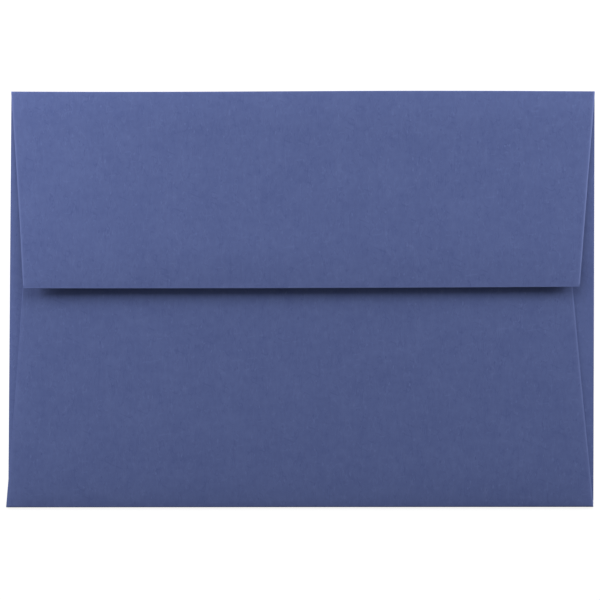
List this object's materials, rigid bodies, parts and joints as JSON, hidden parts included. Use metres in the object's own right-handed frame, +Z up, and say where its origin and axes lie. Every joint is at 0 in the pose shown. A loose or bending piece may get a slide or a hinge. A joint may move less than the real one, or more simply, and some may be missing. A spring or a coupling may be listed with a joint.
{
  "type": "paper envelope",
  "caption": "Flat paper envelope folded from one sheet, with two side flaps, a glued bottom flap and an unsealed square closure flap whose edge stands a little open.",
  "frame": {"origin": "under the middle of the outline, on the plane that the face panel rests on", "axes": "+X along the two long folds, +Y towards the closure fold, +Z up out of the flap side"},
  "size_m": [0.131, 0.0926, 0.0029],
  "materials": {
    "paper": "matt uncoated, dyed through, faint fibre mottle"
  },
  "bodies": {
    "root": {"envelope": "paper"}
  },
  "joints": []
}
